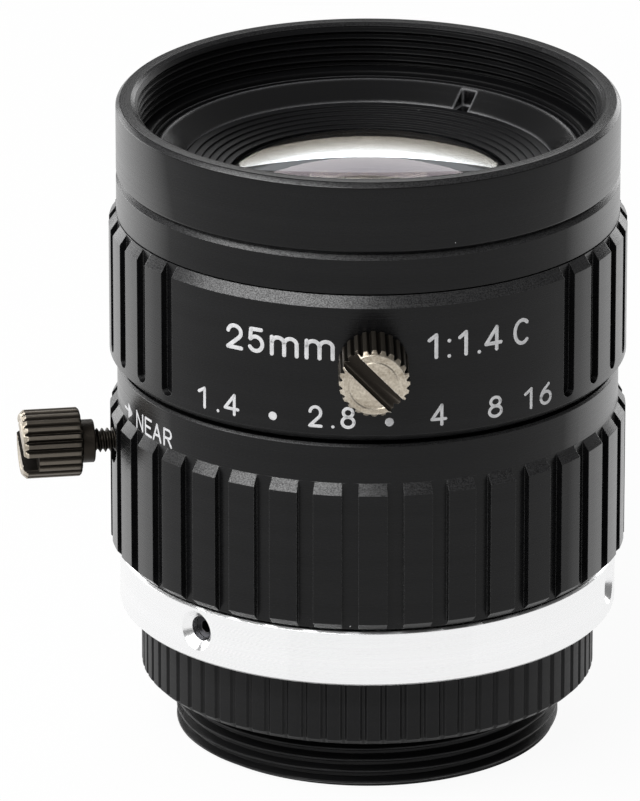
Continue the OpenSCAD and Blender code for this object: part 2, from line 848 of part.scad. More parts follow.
// Headless screw that carries the turn of the iris ring to the cam ring
module iris_drive_screw() {
    color([0.5, 0.47, 0.4])
        at_azimuth(drive_azimuth)
            translate([0, 0, drive_z])
                difference() {
                    union() {
                        radial(drive_pin_r, cam_r - drive_pin_len, ring_bore_r + 2 * joint_lap);
                        radial(drive_head_r, ring_bore_r + joint_lap, band_r - drive_head_sink);
                    }
                    translate([-drive_slot_w / 2, -band_r, -drive_head_r - cut])
                        cube([drive_slot_w, drive_head_sink + drive_slot_depth, 2 * (drive_head_r + cut)]);
                }
}

// Lock screw of the iris ring, screwed home
module iris_lock_screw() {
    seat = grip_r + run_fit;
    shank = seat - collar_len - tube_r - face_gap;
    color([0.62, 0.58, 0.52])
        at_azimuth(iris_lock_azimuth)
            translate([0, collar_len + shank - seat, iris_z + iris_lock_rise])
                rotate([90, 0, 0]) thumb_screw(shank, iris_slot_turn);
}

// Cell that carries the rear glasses
module rear_cell() {
    step_r = rear_glass_r - rear_spacer_w;
    throat_r = last_glass_r - spacer_w;
    ledge_z = last_edge_top + 3 * joint_lap;
    color([0.08, 0.08, 0.09])
        rotate_extrude()
            polygon([
                [cell_tube_r, rear_end_z], [cell_tube_r, cell_seat_z - skirt_break],
                [cell_tube_r + cell_collar, cell_seat_z - skirt_break],
                [cell_tube_r + cell_collar, iris_seat_z],
                [unit_r, iris_seat_z], [unit_r, iris_seat_z + plate_t],
                [open_r, iris_seat_z + plate_t], [rear_rim_r + 2 * joint_lap, rear_rim_z + seat_fit],
                [rear_glass_r + seat_fit, rear_rim_z + seat_fit],
                [rear_glass_r + seat_fit, third_edge_low - seat_fit],
                [step_r, third_back + sag(third_r, step_r) - seat_fit],
                [step_r, third_edge_low - rear_recess],
                [throat_r, last_edge_top + rear_recess], [throat_r, ledge_z],
                [last_glass_r + seat_fit, ledge_z], [last_glass_r + seat_fit, rear_end_z]
            ]);
}

// Negative half of the cemented pair behind the iris, hollow towards it
module rear_element_stop() {
    glass(
        concat(dome(rear_top, -rear_r1, 0, rear_rim_r), [[rear_glass_r, rear_rim_z]]),
        [[0, rear_plane], [rear_glass_r, rear_plane]]
    );
}

// Positive half of the cemented pair behind the iris
module rear_element_middle() {
    glass(
        [[0, rear_plane], [rear_glass_r, rear_plane]],
        dome(middle_back, -middle_r2, 0, rear_glass_r)
    );
}

// Spacer between the rear pair and the single element behind it
module rear_spacer() {
    in = rear_glass_r - rear_spacer_w;
    color([0.08, 0.08, 0.09])
        rotate_extrude()
            polygon([
                [in, third_top - sag(third_r, in) + seat_fit],
                [rear_glass_r, third_edge_top + seat_fit],
                [rear_glass_r, middle_edge_z - seat_fit],
                [in, middle_back + sag(middle_r2, in) - seat_fit]
            ]);
}

// Single element of the rear group
module rear_element_inner() {
    glass(
        dome(third_top, third_r, 0, rear_glass_r),
        dome(third_back, -third_r, 0, rear_glass_r)
    );
}

// Last element, seen from the camera's side
module last_element() {
    glass(
        dome(last_edge_top + sag(last_r1, last_glass_r), last_r1, 0, last_glass_r),
        dome(last_edge_low + sag(last_r2, last_glass_r), last_r2, 0, last_glass_r)
    );
}

// Screwed ring that holds the last element
module rear_retaining_ring() {
    face = last_ring_gap + rear_end_z;
    color([0.08, 0.08, 0.09])
        mirror([0, 0, 1])
            difference() {
                ring(last_glass_r, last_glass_r - last_ring_w, seat_fit - last_edge_low, -face);
                notches(last_glass_r - last_ring_w / 2, -face, last_notch, last_notch_azimuth);
            }
}

mount_ring();
base_ring();
clamp_screw(0);  // clamp_screw_1
clamp_screw(1);  // clamp_screw_2
clamp_screw(2);  // clamp_screw_3
guide_key();
focus_retainer();
focus_ring();
focus_lock_screw();
main_barrel();
front_hood();
front_retaining_ring();
front_cell();
glass_clamp_ring();
front_element();
inner_element_front();
inner_element_stop();
front_spacer();
iris_housing();
iris_cover();
cam_ring();
iris_blade(0);  // iris_blade_1
iris_blade(1);  // iris_blade_2
iris_blade(2);  // iris_blade_3
iris_blade(3);  // iris_blade_4
iris_blade(4);  // iris_blade_5
iris_blade(5);  // iris_blade_6
iris_ring();
iris_drive_screw();
iris_lock_screw();
rear_cell();
rear_element_stop();
rear_element_middle();
rear_spacer();
rear_element_inner();
last_element();
rear_retaining_ring();
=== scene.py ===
import math

import bmesh
import bpy
import numpy as np
from mathutils import Matrix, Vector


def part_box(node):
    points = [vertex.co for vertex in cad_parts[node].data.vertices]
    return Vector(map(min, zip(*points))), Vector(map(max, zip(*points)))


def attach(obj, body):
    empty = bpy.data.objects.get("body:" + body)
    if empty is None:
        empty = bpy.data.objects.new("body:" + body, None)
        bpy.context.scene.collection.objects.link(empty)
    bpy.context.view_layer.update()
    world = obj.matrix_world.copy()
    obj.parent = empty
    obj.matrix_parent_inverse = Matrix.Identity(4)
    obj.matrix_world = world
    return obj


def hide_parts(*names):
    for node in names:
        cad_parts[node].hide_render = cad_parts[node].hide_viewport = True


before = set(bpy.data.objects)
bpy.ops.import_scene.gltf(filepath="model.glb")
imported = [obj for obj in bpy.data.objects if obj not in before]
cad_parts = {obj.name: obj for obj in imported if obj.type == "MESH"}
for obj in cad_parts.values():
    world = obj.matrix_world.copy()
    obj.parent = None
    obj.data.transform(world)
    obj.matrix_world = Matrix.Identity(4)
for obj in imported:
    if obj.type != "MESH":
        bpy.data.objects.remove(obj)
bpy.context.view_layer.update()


# Camera
# A long focal length looks down on the front of the lens, at the photograph's angle.
# It aims a little beside the lens' axis, so no shift is needed.
mm = 0.001
picture_height = 801
sensor = 36
focal_pixels = 10039.3
camera_place = (0, -618.24, 255.93)
look_down = 21.017
look_left = 0.2918
camera_data = bpy.data.cameras.new("camera")
camera_data.sensor_width = sensor
camera_data.lens = focal_pixels * sensor / picture_height
camera_data.clip_start = 0.02
camera_data.clip_end = 20
camera = bpy.data.objects.new("camera", camera_data)
camera.location = [mm * value for value in camera_place]
camera.rotation_euler = (math.radians(90 - look_down), 0, math.radians(look_left))
bpy.context.scene.collection.objects.link(camera)
bpy.context.scene.camera = camera
bpy.context.scene.view_settings.view_transform = "Standard"


# Studio
# A white table under the mounting thread, in a plain room with four softboxes. The
# table keeps the soft shadow, and looks white to the eye, to metal and to glass alike.
def put(tree, kind, inputs=(), **settings):
    """Adds a node with its settings, and feeds each input with a value or with another node's socket."""
    new = tree.nodes.new(kind)
    for name, value in settings.items():
        setattr(new, name, value)
    for name, value in dict(inputs).items():
        if isinstance(value, bpy.types.NodeSocket):
            tree.links.new(value, new.inputs[name])
        else:
            new.inputs[name].default_value = value
    return new


def maths(tree, operation, first, second=0.0, clamp=False):
    """One step of arithmetic on sockets or numbers."""
    return put(tree, "ShaderNodeMath", {0: first, 1: second}, operation=operation, use_clamp=clamp).outputs[0]


def empty_material(name):
    """A material with nodes and nothing in it but its output."""
    material = bpy.data.materials.new(name)
    material.use_nodes = True
    material.node_tree.nodes.clear()
    return material, material.node_tree


def seen_directly(tree):
    """1 for rays from the camera, from a mirror or through glass, 0 for the light that falls on the object."""
    path = put(tree, "ShaderNodeLightPath").outputs
    sharp = maths(tree, "MAXIMUM", path["Is Glossy Ray"], path["Is Transmission Ray"])
    return maths(tree, "MAXIMUM", path["Is Camera Ray"], sharp)


table_z = -4
table_reach = 1500
table_grey = (0.86, 0.86, 0.86, 1)
table_glow = 0.94
room_white = (1, 1, 1, 1)
room_light = 0.22

table_mesh = bpy.data.meshes.new("table")
corners = np.array([(-1, -1), (1, -1), (1, 1), (-1, 1)]) * table_reach * mm
table_mesh.from_pydata(np.column_stack([corners, np.full(4, table_z * mm)]), [], [(0, 1, 2, 3)])
table = bpy.data.objects.new("table", table_mesh)
bpy.context.scene.collection.objects.link(table)

table_paint, tree = empty_material("table_paint")
matt = put(tree, "ShaderNodeBsdfDiffuse", {"Color": table_grey})
glow = put(tree, "ShaderNodeEmission", {"Color": room_white, "Strength": 1.0})
share = maths(tree, "MULTIPLY", seen_directly(tree), table_glow)
top = put(tree, "ShaderNodeMixShader", {0: share, 1: matt.outputs[0], 2: glow.outputs[0]})
clear = put(tree, "ShaderNodeBsdfTransparent")
below = put(tree, "ShaderNodeNewGeometry").outputs["Backfacing"]
both = put(tree, "ShaderNodeMixShader", {0: below, 1: top.outputs[0], 2: clear.outputs[0]})
put(tree, "ShaderNodeOutputMaterial", {"Surface": both.outputs[0]})
table_mesh.materials.append(table_paint)

room = bpy.data.worlds.new("room")
room.use_nodes = True
tree = room.node_tree
tree.nodes.clear()
air = put(tree, "ShaderNodeBackground", {"Color": room_white, "Strength": room_light})
put(tree, "ShaderNodeOutputWorld", {"Surface": air.outputs[0]})
bpy.context.scene.world = room


aim_height = 20


def softbox(name, azimuth, elevation, distance, width, height, radiance):
    """A rectangular lamp at an azimuth and elevation around the lens, aimed at its middle. Its power is pi times
    radiance times area."""
    data = bpy.data.lights.new(name, "AREA")
    data.shape = "RECTANGLE"
    data.size = width * mm
    data.size_y = height * mm
    data.energy = radiance * math.pi * data.size * data.size_y
    lamp = bpy.data.objects.new(name, data)
    turn = Matrix.Rotation(math.radians(azimuth), 4, "Z") @ Matrix.Rotation(math.radians(90 - elevation), 4, "X")
    middle = Matrix.Translation((0, 0, aim_height * mm))
    lamp.matrix_world = middle @ turn @ Matrix.Translation((0, 0, distance * mm))
    bpy.context.scene.collection.objects.link(lamp)


softbox("left_softbox", -130, 8, 600, 480, 220, 4.0)
softbox("right_softbox", 148, 8, 600, 300, 220, 3.6)
softbox("top_softbox", -50, 47, 600, 720, 300, 6.0)
softbox("back_softbox", 180, 33.5, 700, 540, 165, 3.4)


# Mount ring
# One turned aluminium piece, black anodised: the mounting thread of one inch by 32 to
# the inch, the ring with fine straight ribs, and the neck that the base ring clamps.
def effect(name, inputs, outputs):
    """A shader node group for what the lathe, the etching bath or handling leaves on metal. It gives only masks,
    heights or normals: (group, its input node, its output node)."""
    group = bpy.data.node_groups.new(name, "ShaderNodeTree")
    for socket, default in inputs:
        group.interface.new_socket(socket, in_out="INPUT", socket_type="NodeSocketFloat").default_value = default
    for socket, kind in outputs:
        group.interface.new_socket(socket, in_out="OUTPUT", socket_type=kind)
    return group, group.nodes.new("NodeGroupInput"), group.nodes.new("NodeGroupOutput")


# Lines of the lathe: noise that varies fast with radius and height and slowly around the axis
turning, given, result = effect(
    "turning_lines",
    [("Lines per mm", 9.0), ("Wander", 0.8)],
    [("Height", "NodeSocketFloat"), ("Tone", "NodeSocketFloat")],
)
place = put(turning, "ShaderNodeTexCoord").outputs["Object"]
parts = put(turning, "ShaderNodeSeparateXYZ", {0: place}).outputs
squares = [maths(turning, "MULTIPLY", part, part) for part in parts[:2]]
distance = maths(turning, "SQRT", maths(turning, "ADD", *squares))
lines = maths(turning, "MULTIPLY", given.outputs["Lines per mm"], 1 / mm)
around = maths(turning, "DIVIDE", parts[0], maths(turning, "ADD", distance, 1e-5))
ahead = maths(turning, "DIVIDE", parts[1], maths(turning, "ADD", distance, 1e-5))
slow = maths(turning, "MULTIPLY", maths(turning, "ADD", around, ahead), given.outputs["Wander"])
point = put(
    turning,
    "ShaderNodeCombineXYZ",
    {0: maths(turning, "MULTIPLY", distance, lines), 1: maths(turning, "MULTIPLY", parts[2], lines), 2: slow},
)
fine = put(turning, "ShaderNodeTexNoise", {"Vector": point.outputs[0], "Scale": 1.0, "Detail": 2.0, "Roughness": 0.6})
clouds = {"Vector": point.outputs[0], "Scale": 0.08, "Detail": 3.0, "Roughness": 0.5}
coarse = put(turning, "ShaderNodeTexNoise", clouds)
turning.links.new(fine.outputs[0], result.inputs["Height"])
turning.links.new(coarse.outputs[0], result.inputs["Tone"])

# Etched grain: fine noise in all directions, with rare specks of dust
specks_per_metre = 900.0
speck_size = 0.045
grain, given, result = effect(
    "etched_grain",
    [("Grains per mm", 14.0), ("Specks", 0.12)],
    [("Height", "NodeSocketFloat"), ("Dust", "NodeSocketFloat")],
)
place = put(grain, "ShaderNodeTexCoord").outputs["Object"]
size = maths(grain, "MULTIPLY", given.outputs["Grains per mm"], 1 / mm)
noise = put(grain, "ShaderNodeTexNoise", {"Vector": place, "Scale": size, "Detail": 2.0, "Roughness": 0.55})
cells = put(grain, "ShaderNodeTexVoronoi", {"Vector": place, "Scale": specks_per_metre})
pick = put(grain, "ShaderNodeSeparateColor", {0: cells.outputs["Color"]}).outputs[0]
chosen = maths(grain, "LESS_THAN", pick, given.outputs["Specks"])
near = maths(grain, "LESS_THAN", cells.outputs["Distance"], speck_size)
grain.links.new(noise.outputs[0], result.inputs["Height"])
grain.links.new(maths(grain, "MULTIPLY", chosen, near), result.inputs["Dust"])

# Broken edge: the normal of a small rounding at every sharp edge, and where it is
edge, given, result = effect(
    "broken_edge", [("Width in mm", 0.06)], [("Normal", "NodeSocketVector"), ("Edge", "NodeSocketFloat")]
)
width = maths(edge, "MULTIPLY", given.outputs["Width in mm"], mm)
rounding = put(edge, "ShaderNodeBevel", {"Radius": width}, samples=6)
flat = put(edge, "ShaderNodeNewGeometry").outputs["Normal"]
match = put(edge, "ShaderNodeVectorMath", {0: rounding.outputs[0], 1: flat}, operation="DOT_PRODUCT").outputs["Value"]
bare = maths(edge, "MULTIPLY", maths(edge, "SUBTRACT", 1.0, match), 5.0, clamp=True)
edge.links.new(rounding.outputs[0], result.inputs["Normal"])
edge.links.new(bare, result.inputs["Edge"])

# Sloping shoulders: 1 where a surface leans towards the front of the lens, 0 on walls and on flat faces. It places the
# painted highlight on slopes
lean, given, result = effect(
    "shoulders", [("Least slope", 0.42), ("Most slope", 0.85)], [("Slope", "NodeSocketFloat")]
)
upward = put(lean, "ShaderNodeSeparateXYZ", {0: put(lean, "ShaderNodeNewGeometry").outputs["Normal"]}).outputs[2]
steep = maths(lean, "MULTIPLY", maths(lean, "SUBTRACT", upward, given.outputs["Least slope"]), 10.0, clamp=True)
level = maths(lean, "MULTIPLY", maths(lean, "SUBTRACT", given.outputs["Most slope"], upward), 10.0, clamp=True)
lean.links.new(maths(lean, "MULTIPLY", steep, level), result.inputs["Slope"])


def use(tree, group, **values):
    """Places a shared effect in a material, with its own values by socket name."""
    new = tree.nodes.new("ShaderNodeGroup")
    new.node_tree = group
    for name, value in values.items():
        new.inputs[name.replace("_", " ")].default_value = value
    return new.outputs


def two_tone(tree, mask, low, high):
    """Colour between low, which may come from another node, and high by a mask."""
    low = low if isinstance(low, bpy.types.NodeSocket) else (*low, 1)
    return put(tree, "ShaderNodeMix", {0: mask, 6: low, 7: (*high, 1)}, data_type="RGBA").outputs[2]


def between(tree, mask, low, high, start=0.0, end=1.0):
    """Number that goes from low to high while the mask goes from start to end, and stays there outside them."""
    return put(tree, "ShaderNodeMapRange", {0: mask, 1: start, 2: end, 3: low, 4: high}).outputs[0]


def principled(tree, inputs):
    """Ends a material with its shader."""
    shader = put(tree, "ShaderNodeBsdfPrincipled", inputs)
    put(tree, "ShaderNodeOutputMaterial", {"Surface": shader.outputs[0]})
    return shader


dust_tone = (0.4, 0.4, 0.4)


def metal(name, dark, light, smooth, rough, metallic, wear_and_highlight, lines=9.0, wander=0.8, relief=0.1, grains=14.0,
          edge_width=0.06, wear_and_highlight_amount=0.35, shine=0.5, rim_shine=None, specks=0.03, shoulder_highlight=None):
    """Turned metal: two close tones, roughness that follows the tool lines, etched grain, and a third tone at the
    edges, rubbing that, where it is set light and strong, is also a painted highlight. With a rim shine, walls gloss
    more where they turn away. With a slope highlight tone, slopes that lean upward get a painted highlight: a lighter
    grainy tone, and a gloss coat where they face the viewer."""
    material, tree = empty_material(name)
    turned = use(tree, turning, Lines_per_mm=lines, Wander=wander)
    etched = use(tree, grain, Grains_per_mm=grains, Specks=specks)
    broken = use(tree, edge, Width_in_mm=edge_width)
    facing = put(tree, "ShaderNodeLayerWeight", {"Blend": 0.5}).outputs["Facing"]

    clouds = [maths(tree, "MULTIPLY", share, 0.5) for share in (turned["Tone"], etched["Height"])]
    tone = two_tone(tree, between(tree, maths(tree, "ADD", *clouds), 0.0, 1.0, 0.35, 0.65), dark, light)
    coat = 0.0
    # Painted highlight: slopes that lean upward get a lighter grainy tone, and a gloss coat where they face the viewer.
    if shoulder_highlight:
        lit_grains = between(tree, etched["Height"], 0.15, 1.15, 0.38, 0.62)
        slope_highlight = maths(tree, "MULTIPLY", use(tree, lean)["Slope"], lit_grains)
        coat = maths(tree, "MULTIPLY", slope_highlight, between(tree, facing, 1.0, 0.0, 0.2, 0.45))
        tone = two_tone(tree, slope_highlight, tone, shoulder_highlight)
    # Edge tone: rubbing, and for satin black, whose edge tone is light and strong, a painted highlight.
    rubbed_and_lit_grains = maths(tree, "MULTIPLY", etched["Height"], 2 * wear_and_highlight_amount)
    tone = two_tone(tree, maths(tree, "MULTIPLY", broken["Edge"], rubbed_and_lit_grains, clamp=True), tone, wear_and_highlight)
    tone = two_tone(tree, etched["Dust"], tone, dust_tone)

    gloss = shine
    if rim_shine is not None:
        true_normal = put(tree, "ShaderNodeNewGeometry").outputs["Normal"]
        upward = put(tree, "ShaderNodeSeparateXYZ", {0: true_normal}).outputs[2]
        most = between(tree, maths(tree, "ABSOLUTE", upward), rim_shine, shine, 0.2, 0.45)
        gloss = between(tree, facing, shine, most, 0.42, 0.82)
    height = maths(tree, "ADD", turned["Height"], maths(tree, "MULTIPLY", etched["Height"], 0.6))
    bump = {"Strength": relief, "Distance": 0.02 * mm, "Height": height, "Normal": broken["Normal"]}
    shader = principled(
        tree,
        {
            "Base Color": tone,
            "Roughness": between(tree, turned["Height"], smooth, rough),
            "Metallic": metallic,
            "Specular IOR Level": gloss,
            "Coat Weight": coat,
            "Coat Roughness": 0.36,
            "Normal": put(tree, "ShaderNodeBump", bump).outputs[0],
        },
    )
    shader.inputs["Specular IOR Level"].default_value = shine
    return material


def revolve(name, radius, height, material, slot, body, *nodes, sharp=28):
    """Surface of revolution in millimetres: point (i, j) lies at radius[i, j] and height[i, j], turned by
    j steps from -Y towards +X. Rows run counterclockwise round the profile. They close on themselves, or
    end on the axis where the first and the last radius are zero."""
    radius, height = np.broadcast_arrays(radius, height)
    rows, columns = radius.shape
    turn = np.arange(columns) * 2 * math.pi / columns
    points = np.stack([radius * np.sin(turn), -radius * np.cos(turn), height], axis=-1) * mm
    number = np.arange(rows * columns).reshape(rows, columns)
    solid = radius[0, 0] == 0
    if solid:
        number[0] = number[0, 0]
        number[-1] = number[-1, 0]
    ahead = np.roll(number, -1, axis=1)
    last = rows - 1 if solid else rows
    i, k = np.arange(last), (np.arange(last) + 1) % rows
    quads = np.stack([number[i], ahead[i], ahead[k], number[k]], axis=-1)
    if solid:
        faces = quads[0][:, [0, 2, 3]].tolist() + quads[-1][:, [0, 1, 2]].tolist()
        faces += quads[1:-1].reshape(-1, 4).tolist()
    else:
        faces = quads.reshape(-1, 4).tolist()
    mesh = bpy.data.meshes.new(name)
    mesh.from_pydata(points.reshape(-1, 3), [], faces)
    if solid:
        tidy = bmesh.new()
        tidy.from_mesh(mesh)
        loose = [point for point in tidy.verts if not point.link_faces]
        bmesh.ops.delete(tidy, geom=loose, context="VERTS")
        tidy.to_mesh(mesh)
        tidy.free()
    return finish(name, mesh, material, slot, body, *nodes, sharp=sharp)


def finish(name, mesh, material, slot, body, *nodes, sharp=28):
    """Puts a mesh in the scene as a piece: its finish, its body, and the nodes that it stands for. The slot is not
    used."""
    mesh.shade_smooth()
    mesh.set_sharp_from_angle(angle=math.radians(sharp))
    piece = bpy.data.objects.new(name, mesh)
    bpy.context.scene.collection.objects.link(piece)
    mesh.materials.append(material)
    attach(piece, body)
    if nodes:
        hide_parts(*nodes)
    return piece


def wall(radius, heights):
    """Profile points at one radius and a row of heights."""
    return np.column_stack([np.full(len(heights), float(radius)), heights])


def thread_depth(height, turn, pitch, depth):
    """Depth of a vee thread under its crest. Height over pitch less the share of a turn gives the place across
    the thread. The crest is flat for an eighth of the pitch and the root for a quarter."""
    phase = np.mod(height / pitch - turn / (2 * math.pi), 1)
    side = np.abs(phase - 0.5) * 2
    return depth * np.clip((side - 0.125) / (1 - 0.125 - 0.25), 0, 1)


matt_anodised = metal(
    "matt_anodised", (0.003, 0.003, 0.0033), (0.007, 0.007, 0.0075), 0.36, 0.52, 0.0, (0.12, 0.12, 0.12),
    shine=0.2, relief=0.5, grains=9.0
)
flange_radius = 15.0
ring_height = 4.8
rib_count = 72
rib_depth = 0.25
rib_place = 0.82
rib_half = 0.18
thread_radius = 12.7
thread_length = 4.0
thread_pitch = 25.4 / 32
thread_cut = 0.487
undercut = 0.45
rear_bore = 11.6
neck_radius = 14.0
neck_top = 7.9
clamp_height = 6.9
clamp_groove = 0.5

columns = 8 * rib_count
turn = np.arange(columns) * 2 * math.pi / columns
thread_rows = np.arange(-thread_length, -0.25, 0.045)
rear_end = [(rear_bore, -thread_length), (thread_radius - 0.6, -thread_length)]
relief = [(thread_radius - undercut, -0.2), (thread_radius - undercut, 0)]
ring = np.array(
    [(flange_radius - 0.38, 0), (flange_radius - 0.33, 0.02), (flange_radius, 0.35), (flange_radius, 0.6)]
    + [(flange_radius, 2.4), (flange_radius, 4.5), (flange_radius, 4.7), (flange_radius - 0.1, ring_height)]
)
neck = (
    [(neck_radius, ring_height), (neck_radius, clamp_height - clamp_groove), (neck_radius - clamp_groove, clamp_height)]
    + [(neck_radius, clamp_height + clamp_groove), (neck_radius, neck_top), (rear_bore + 0.2, neck_top)]
    + [(rear_bore, neck_top - 0.2)]
)
outline = np.vstack([rear_end, wall(thread_radius, thread_rows), relief, ring, neck])
radius = outline[:, :1] + np.zeros((1, columns))
height = outline[:, 1:] + np.zeros((1, columns))
first, last = len(rear_end), len(rear_end) + len(thread_rows)
cut = thread_depth(height[first:last], turn, thread_pitch, thread_cut)
lead = thread_radius - 0.2 + height[first:last] + thread_length
radius[first:last] = np.minimum(radius[first:last] - cut, lead)
ribs = slice(last + len(relief), last + len(relief) + len(ring))
phase = np.mod(turn * rib_count / (2 * math.pi), 1)
groove = np.clip(1 - np.abs(phase - rib_place) / rib_half, 0, 1)
radius[ribs] = np.minimum(radius[ribs], flange_radius - rib_depth * groove)
revolve("mount_ring_threaded", radius, height, matt_anodised, "black_anodised", "camera_mount", "mount_ring", sharp=24)


# Base ring
# Bright ring with the guide sleeve, turned from aluminium and clear anodised. Three
# black clamping screws in countersinks hold it on the neck of the mount ring.
def dress(material, *names):
    """Gives pieces of the CAD model their finish."""
    for name in names:
        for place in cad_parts[name].material_slots:
            place.material = material


bright_aluminium = metal(
    "bright_aluminium", (0.91, 0.912, 0.915), (0.955, 0.955, 0.96), 0.2, 0.34, 1.0, (0.95, 0.95, 0.95),
    lines=7.0, relief=0.05, specks=0.0
)
black_steel = metal(
    "black_steel", (0.02, 0.02, 0.022), (0.05, 0.05, 0.055), 0.3, 0.45, 1.0, (0.35, 0.34, 0.33),
    grains=25.0, relief=0.3, specks=0.0
)
nickel = metal(
    "nickel_brass", (0.34, 0.29, 0.225), (0.66, 0.6, 0.5), 0.24, 0.5, 1.0, (0.9, 0.88, 0.83),
    grains=6.0, relief=1.0, wear_and_highlight_amount=0.8, specks=0.0
)
dress(bright_aluminium, "base_ring")
dress(black_steel, "clamp_screw_1", "clamp_screw_2", "clamp_screw_3")
dress(nickel, "guide_key")


# Focus ring
# Turned aluminium tube with a milled grip and a smooth band, black anodised. A screwed
# ring inside it keeps it on the base ring.
# Black anodised carries a painted highlight: a lighter grey on its upward slopes.
black_anodised = metal(
    "black_anodised", (0.003, 0.003, 0.0033), (0.006, 0.006, 0.0065), 0.2, 0.34, 0.0, (0.12, 0.12, 0.12),
    shine=0.2, rim_shine=2.2, relief=0.38, grains=13.0, shoulder_highlight=(0.026, 0.026, 0.027)
)
matt_black = metal(
    "matt_black", (0.004, 0.004, 0.0045), (0.009, 0.009, 0.01), 0.4, 0.6, 0.0, (0.05, 0.05, 0.05),
    shine=0.3, relief=0.2
)
dress(black_anodised, "focus_ring")
dress(matt_black, "focus_retainer")


# Main barrel
# Turned tube of aluminium, black anodised and keyed to the base ring, so that it slides
# when the focus ring turns. Its smooth band shows above the iris ring.
dress(black_anodised, "main_barrel")


# Glasses
# Ground and polished elements with a thin coating against reflections, held in matt
# black cells by screwed rings. The cemented pairs are modelled a hair apart.
dress(matt_black, "rear_cell", "rear_spacer", "rear_retaining_ring")
coating_index = 1.38


def clear_glass(name, colour, index, film):
    """Polished glass of an index, with a coating in nanometres, a little dust and faint wiping marks."""
    material, tree = empty_material(name)
    place = put(tree, "ShaderNodeTexCoord").outputs["Object"]
    wipes = put(tree, "ShaderNodeTexNoise", {"Vector": place, "Scale": 260.0, "Detail": 3.0, "Distortion": 1.5})
    dust = use(tree, grain, Grains_per_mm=10.0, Specks=0.05)["Dust"]
    haze = maths(tree, "ADD", between(tree, wipes.outputs[0], 0.0, 0.02), maths(tree, "MULTIPLY", dust, 0.2))
    principled(
        tree,
        {
            "Base Color": two_tone(tree, wipes.outputs[0], colour, [min(1, 1.02 * value) for value in colour]),
            "Roughness": haze,
            "IOR": index,
            "Transmission Weight": 1.0,
            "Thin Film Thickness": film,
            "Thin Film IOR": coating_index,
        },
    )
    return material


front_glass = clear_glass("front_glass", (0.92, 0.95, 0.98), 1.6, 122.0)
inner_glass = clear_glass("inner_glass", (0.8, 0.88, 0.93), 1.55, 120.0)


def cap(vertex, curve, edge, steps=28):
    """Spherical cap from the axis out: height falls from the vertex by the curve's sagitta, the radius less the
    root of radius squared less distance squared. It rises for a negative curve."""
    x = np.linspace(0, edge, steps)
    return np.column_stack([x, vertex - np.sign(curve) * (abs(curve) - np.sqrt(curve**2 - x**2))])


rim_clearance = 0.005
face_clearance = 0.008
glass_columns = 160


def element(name, front, back, material, body, node):
    """Glass between a front and a back surface, a little smaller than its solid: the profile goes out along the
    back and in along the front, and turns round the axis."""
    outline = np.concatenate([back, front[::-1]])
    outline[:, 0] = np.minimum(outline[:, 0], front[-1, 0] - rim_clearance)
    outline[: len(back), 1] += face_clearance
    outline[len(back):, 1] -= face_clearance
    outline[[0, -1], 0] = 0
    around = np.zeros((1, glass_columns))
    revolve(name, outline[:, :1] + around, outline[:, 1:] + around, material, "coated_glass", body, node, sharp=35)


front_vertex = 35.95
front_thickness = 3.4
front_edge = 10.2
inner_vertex = front_vertex - front_thickness - 0.3
inner_back = inner_vertex - 2.4
inner_edge = 9
stop_back = inner_back - 0.9
stop_curve = 11.5
stop_edge = 7
stop_flat = stop_back - (stop_curve - math.sqrt(stop_curve**2 - stop_edge**2))
rear_edge = 8.2
rear_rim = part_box("rear_element_stop")[1].z / mm
rear_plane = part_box("rear_element_stop")[0].z / mm
middle_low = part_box("rear_element_middle")[0].z / mm
third_low, third_top = (corner.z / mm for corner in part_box("rear_element_inner"))
last_low, last_top = (corner.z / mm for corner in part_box("last_element"))
last_edge = 7.5
last_curve = 60
last_sag = last_curve - math.sqrt(last_curve**2 - last_edge**2)

front_face = cap(front_vertex, 24, front_edge)
front_back_face = cap(front_vertex - front_thickness, 80, front_edge)
cemented_face = cap(inner_back, 40, inner_edge)
stop_face = np.vstack([cap(stop_back, stop_curve, stop_edge), (inner_edge, stop_flat)])
rear_face = np.vstack([cap(rear_plane + 1, -9.5, 6.6), (rear_edge, rear_rim)])
flat_face = np.array([(0, rear_plane), (rear_edge, rear_plane)])
last_back_face = cap(last_low + last_sag, last_curve, last_edge)
element("front_glass_element", front_face, front_back_face, front_glass, "barrel", "front_element")
element(
    "inner_glass_element", cap(inner_vertex, 14, inner_edge), cemented_face, inner_glass, "barrel",
    "inner_element_front"
)
element("stop_glass_element", cemented_face, stop_face, inner_glass, "barrel", "inner_element_stop")
element("rear_glass_element", rear_face, flat_face, inner_glass, "barrel", "rear_element_stop")
element(
    "middle_glass_element", flat_face, cap(middle_low, -13, rear_edge), inner_glass, "barrel", "rear_element_middle"
)
element(
    "third_glass_element", cap(third_top, 26, rear_edge), cap(third_low, -26, rear_edge), inner_glass, "barrel",
    "rear_element_inner"
)
element("last_glass_element", cap(last_top, 18, last_edge), last_back_face, inner_glass, "barrel", "last_element")


# Iris diaphragm
# Six curved blades of blackened steel sheet turn on pins between the housing and a brass
# cam ring, and a headless screw through the barrel carries the iris ring's turn to it.
blade_steel = metal(
    "blade_steel", (0.015, 0.015, 0.017), (0.03, 0.03, 0.033), 0.35, 0.5, 1.0, (0.2, 0.2, 0.2),
    lines=4.0, grains=30.0, relief=0.1, specks=0.0
)
brass = metal("brass", (0.42, 0.32, 0.14), (0.6, 0.47, 0.22), 0.25, 0.4, 1.0, (0.8, 0.66, 0.4), relief=0.25, specks=0.0)
dress(matt_black, "iris_housing", "iris_cover")
dress(brass, "cam_ring", "iris_drive_screw")
dress(blade_steel, *[f"iris_blade_{i}" for i in range(1, 7)])


# Iris ring
# Turned and milled aluminium, black anodised, with a smooth sector for the engraved
# scale. Its knurled lock screw presses on the barrel.
dress(black_anodised, "iris_ring")
